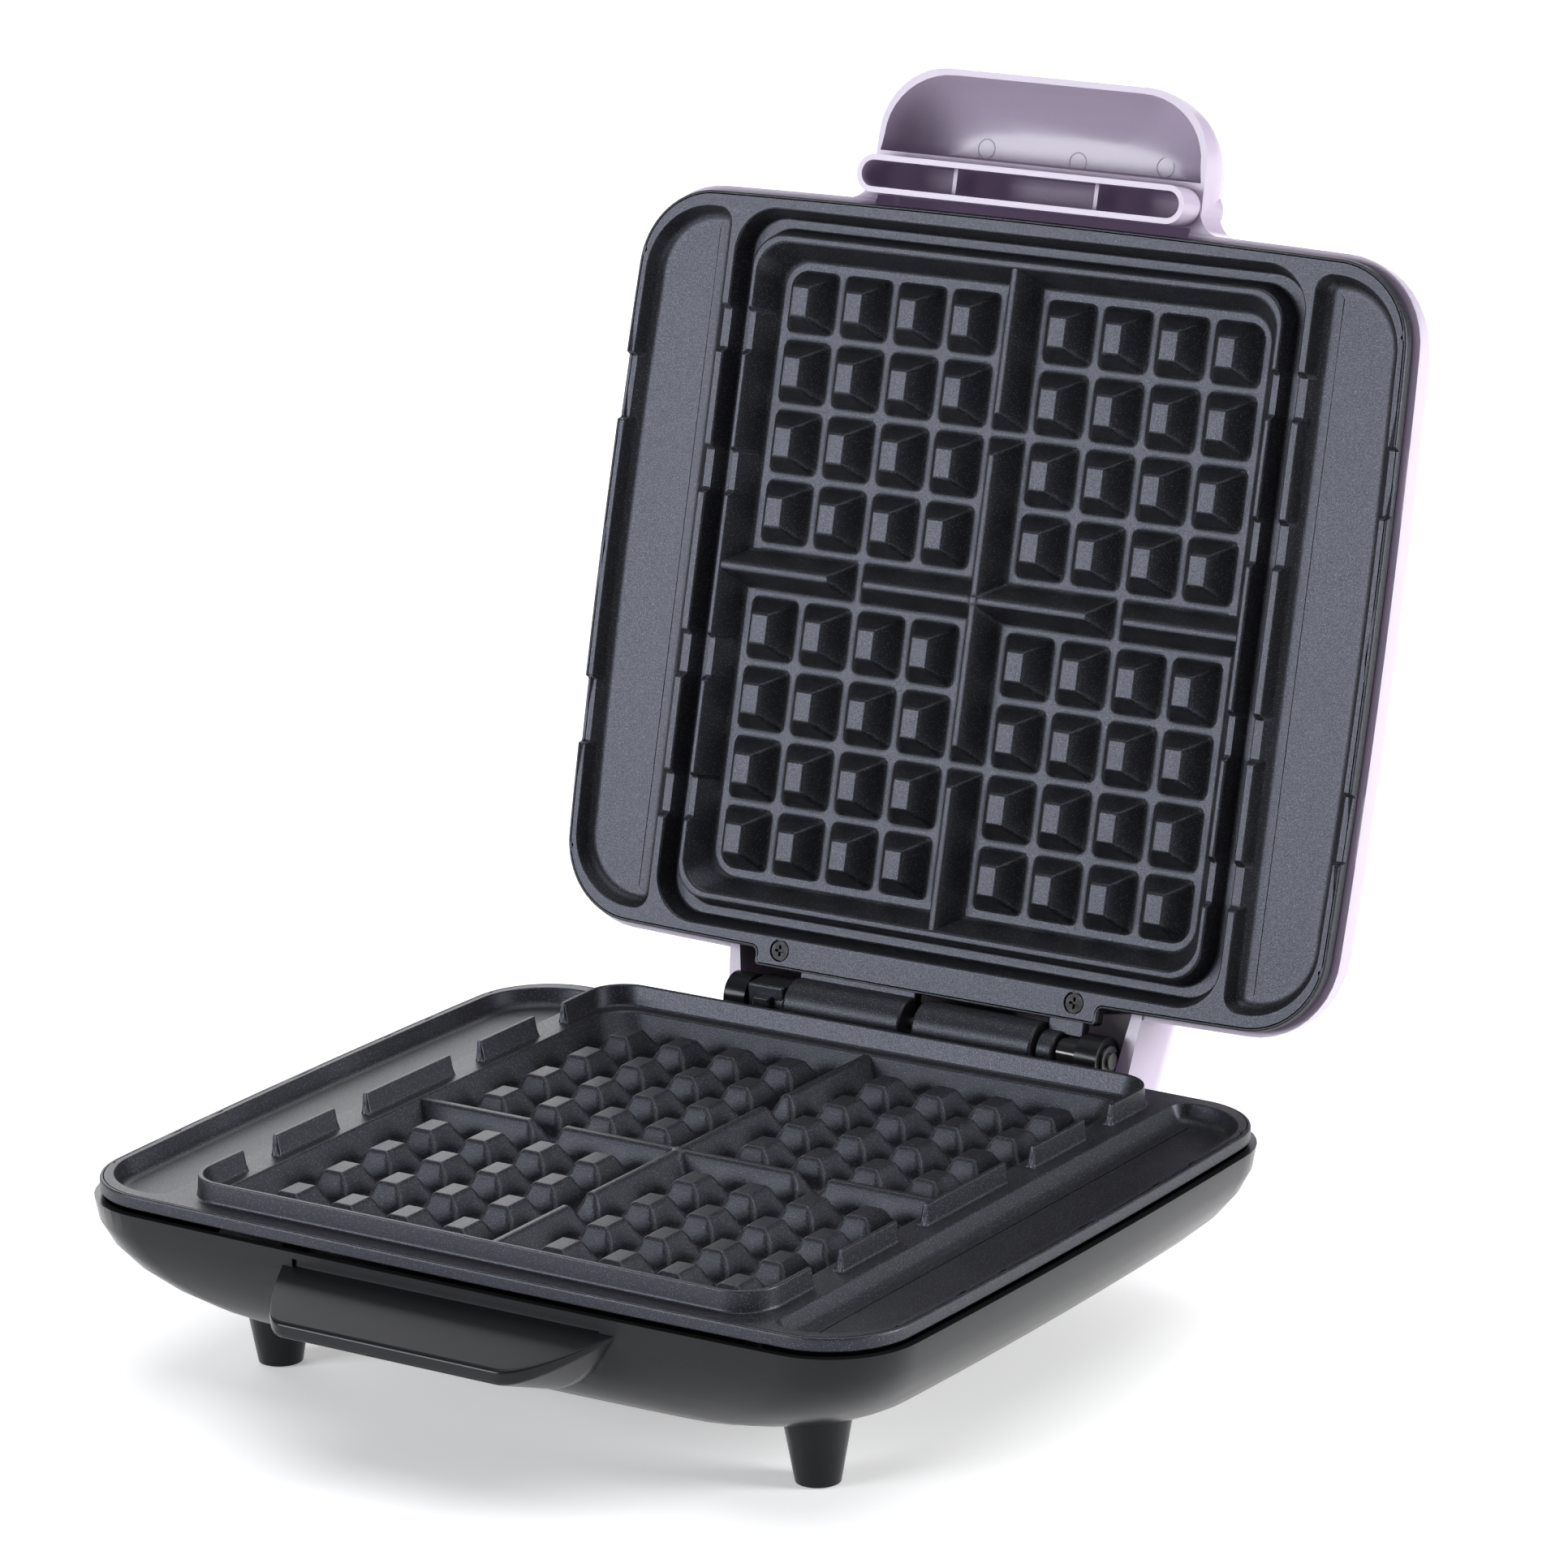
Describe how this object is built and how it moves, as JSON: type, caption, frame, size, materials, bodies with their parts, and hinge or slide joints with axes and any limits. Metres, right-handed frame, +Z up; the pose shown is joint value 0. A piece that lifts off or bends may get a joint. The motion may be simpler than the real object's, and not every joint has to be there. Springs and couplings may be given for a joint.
{
  "type": "waffle maker",
  "caption": "Worktop waffle maker, shown open: hinged lid and base each hold a heated cast plate with a grid of pyramid studs and side overflow channels.",
  "frame": {"origin": "on the worktop, under the middle of the appliance's bounding box with the lid open; the centre of the waffle pattern is 44.65 mm in front of it", "axes": "+Z up, -Y towards the user and the grips, +X to the right when seen from the front"},
  "size_m": [0.271, 0.3661, 0.3322],
  "materials": {
    "black_plastic": "satin black moulding",
    "foot_rubber": "matt",
    "coated_casting": "die casting under a dark non-stick coating",
    "element_steel": "oxidised tube",
    "ceramic_white": "unglazed",
    "zinc_steel": "zinc plated",
    "bright_sheet": "bright rolled sheet",
    "fuse_metal": "drawn can",
    "terminal_nylon": "natural nylon",
    "brass_tag": "stamped",
    "wire_sleeving": "glass-fibre sleeving",
    "gland_rubber": "matt",
    "pin_steel": "ground bar",
    "black_gloss": "polished",
    "lilac_plastic": "semi-gloss lilac moulding",
    "thermostat_body": "matt",
    "lamp_glass": "clear",
    "lens_red": "translucent red"
  },
  "bodies": {
    "base": {"base_shell": "black_plastic", "foot_pads": "foot_rubber", "lower_plate": "coated_casting", "lower_element": "element_steel", "lower_element_insulators": "ceramic_white", "lower_element_clamps": "zinc_steel", "lower_heat_shield": "bright_sheet", "lower_plate_screws": "zinc_steel", "thermal_fuse": "fuse_metal", "terminal_block": "terminal_nylon", "earth_tag": "brass_tag", "base_wires": "wire_sleeving", "cord_gland": "gland_rubber", "hinge_pin": "pin_steel", "hinge_clips": "zinc_steel", "hinge_sleeve": "black_gloss"},
    "lid": {"lid_shell": "lilac_plastic", "upper_plate": "coated_casting", "upper_element": "element_steel", "upper_element_insulators": "ceramic_white", "upper_element_clamps": "zinc_steel", "upper_heat_shield": "bright_sheet", "upper_plate_screws": "zinc_steel", "thermostat": "thermostat_body", "thermostat_bracket": "zinc_steel", "lamp_holder": "terminal_nylon", "neon_lamps": "lamp_glass", "lamp_lenses": "lens_red", "lid_wires": "wire_sleeving"}
  },
  "joints": [
    {"name": "lid_hinge", "type": "hinge", "parent": "base", "child": "lid", "pos_m": [0, 0.08305, 0.0595], "axis": [1, 0, 0], "range_deg": [0, 104.8]}
  ]
}
